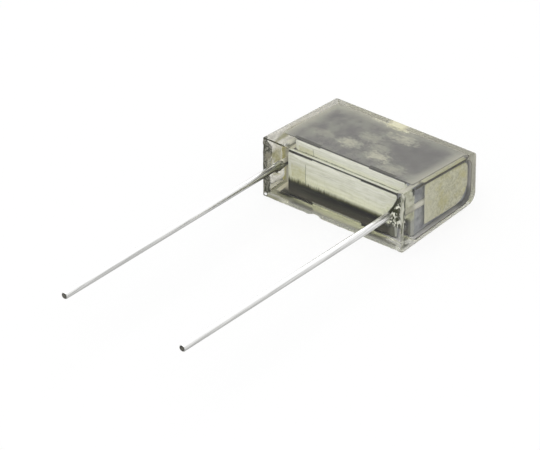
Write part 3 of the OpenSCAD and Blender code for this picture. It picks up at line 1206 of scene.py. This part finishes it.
def tin_material():
    """Tinned wire; its stretch inside the block is painted pale and dull, a painted reflection of the
    bright surroundings that the tin mirrors there.
    """
    material, output, place = new_material("tinned_wire")
    x, y, z = split(place)
    lines = noise_value(stretched(place, (6, 0.12, 6)), 1.0)
    depth = minus(y, FRONT_Y)
    above = minus(minus(z, LEAD_Z), product(depth, LEAD_SLOPE))
    on_left = ramp(x, -1.0, 1.0, 0.85, 0.0)
    tin = tin_colour(x, y, above, lines, on_left)
    # painted reflection: pale, dull paint where the buried wire mirrors bright surroundings
    painted_pale_reflection = highest(ramp(above, 0.1, 0.25), ramp(x, -1.0, 1.0))
    painted_pale_reflection = product(painted_pale_reflection, ramp(minus(depth, on_left), 0.9, 1.4))
    colour = mixed(painted_pale_reflection, tin, srgb(226, 223, 211))
    bare = minus(1.0, painted_pale_reflection)
    give_surface(output, colour, lines, roughness=(0.2, 0.36), bump=0.01, specular=0.5, metallic=bare)
    return material


def cut_material():
    """Dark, dull metal of a wire's cut end."""
    material, output, place = new_material("cut_wire_end")
    fine = noise_value(place, 9.0, detail=6)
    share = ramp(product(noise_value(place, 3.0), fine), 0.12, 0.4)
    colour = mixed(share, srgb(58, 58, 54), srgb(104, 102, 94))
    give_surface(output, colour, fine, roughness=(0.4, 0.6), bump=0.02, specular=0.5, metallic=0.6)
    return material


# Camera, floor and light

WORLD_STRENGTH = 0.85
FLOOR_DROP = 0.02
FLOOR_REACH = 3.0
FLOOR_WHITE_SHARE = 0.85


def direction(azimuth, elevation):
    """Direction from the object, by angles in radians from its front and from level."""
    return Vector(
        (
            math.sin(azimuth) * math.cos(elevation),
            -math.cos(azimuth) * math.cos(elevation),
            math.sin(elevation),
        )
    )


def place_camera():
    """Camera at the photograph's viewing angle."""
    azimuth = math.radians(CAMERA_AZIMUTH)
    roll = math.radians(CAMERA_ROLL)
    back = direction(azimuth, math.radians(CAMERA_ELEVATION))
    level = Vector((math.cos(azimuth), math.sin(azimuth), 0))
    rise = back.cross(level)
    right = level * math.cos(roll) + rise * math.sin(roll)
    up = rise * math.cos(roll) - level * math.sin(roll)
    data = bpy.data.cameras.new("camera")
    data.lens = CAMERA_LENS
    data.sensor_width = 36
    data.sensor_fit = "HORIZONTAL"
    data.clip_start = 0.01
    data.clip_end = 20
    camera = bpy.data.objects.new("camera", data)
    turn = Matrix((right, up, back)).transposed().to_4x4()
    at = (Vector(CAMERA_AT) + back * CAMERA_DISTANCE) * MM
    camera.matrix_world = Matrix.Translation(at) @ turn
    bpy.context.scene.collection.objects.link(camera)
    bpy.context.scene.camera = camera


def shown_share(tree):
    """1 for rays that show the background, also in metal or through glass, and 0 for those that light."""
    path = add(tree, "LightPath").outputs
    return highest(path["Is Camera Ray"], path["Is Glossy Ray"], path["Is Transmission Ray"])


def light_world():
    """White surroundings that light the object evenly from all around."""
    world = bpy.data.worlds.new("studio")
    world.use_nodes = True
    tree = world.node_tree
    tree.nodes.clear()
    output = add(tree, "OutputWorld")
    lit = add(tree, "Background", {"Color": (1, 1, 1, 1), "Strength": WORLD_STRENGTH})
    seen = add(tree, "Background", {"Color": (1, 1, 1, 1), "Strength": 1.0})
    mix = joined("MixShader", {0: shown_share(tree), 1: lit.outputs[0], 2: seen.outputs[0]})
    tree.links.new(mix.outputs[0], output.inputs["Surface"])
    bpy.context.scene.world = world


def lay_floor():
    """White floor that keeps a soft shadow of the object."""
    data = bpy.data.meshes.new("floor")
    signs = [(-1, -1), (1, -1), (1, 1), (-1, 1)]
    corners = [(x * FLOOR_REACH, y * FLOOR_REACH, -FLOOR_DROP * MM) for x, y in signs]
    data.from_pydata(corners, [], [(0, 1, 2, 3)])
    floor = bpy.data.objects.new("floor", data)
    material, output, place = new_material("floor")
    tree = material.node_tree
    paper = add(tree, "BsdfDiffuse", {"Color": (0.95, 0.95, 0.95, 1)})
    white = add(tree, "Emission", {"Color": (1, 1, 1, 1), "Strength": 1.0})
    share = product(shown_share(tree), FLOOR_WHITE_SHARE)
    mix = add(tree, "MixShader", {0: share, 1: paper.outputs[0], 2: white.outputs[0]})
    tree.links.new(mix.outputs[0], output.inputs["Surface"])
    data.materials.append(material)
    bpy.context.scene.collection.objects.link(floor)


def add_softbox(name, azimuth, elevation, distance, size, power):
    """Square lamp that faces the object, placed by its direction in degrees and distance in metres."""
    back = direction(math.radians(azimuth), math.radians(elevation))
    data = bpy.data.lights.new(name, "AREA")
    data.size = size
    data.energy = power
    lamp = bpy.data.objects.new(name, data)
    lamp.location = back * distance
    lamp.rotation_mode = "QUATERNION"
    lamp.rotation_quaternion = (-back).to_track_quat("-Z", "Y")
    bpy.context.scene.collection.objects.link(lamp)


def light_studio():
    """Even surroundings and three soft lamps."""
    light_world()
    add_softbox("key_lamp", azimuth=-20, elevation=60, distance=0.6, size=0.4, power=0.6)
    add_softbox("side_lamp", azimuth=80, elevation=40, distance=0.6, size=0.4, power=0.3)
    add_softbox("rim_lamp", azimuth=209, elevation=40, distance=0.6, size=0.15, power=0.3)


def build_object():
    """All visible pieces, with their materials."""
    sheet, paper = sheet_material(), paper_material()
    spray, contacts = spray_material(), contact_materials()
    wire = (tin_material(), cut_material())
    folded_sheet(sheet, sheet_inside_material())
    paper_roll(paper)
    for word, side, contact in zip(("left", "right"), (-1, 1), contacts):
        spray_end("spray_" + word, side, spray, "end_spray_" + word)
        contact_end("contact_" + word, side, contact, "end_contact_" + word)
    for mount in LEAD_MOUNTS:
        lead_wire(mount, wire)
    resin_skin(resin_material())


bpy.context.scene.view_settings.view_transform = "Standard"
place_camera()
lay_floor()
light_studio()
build_object()
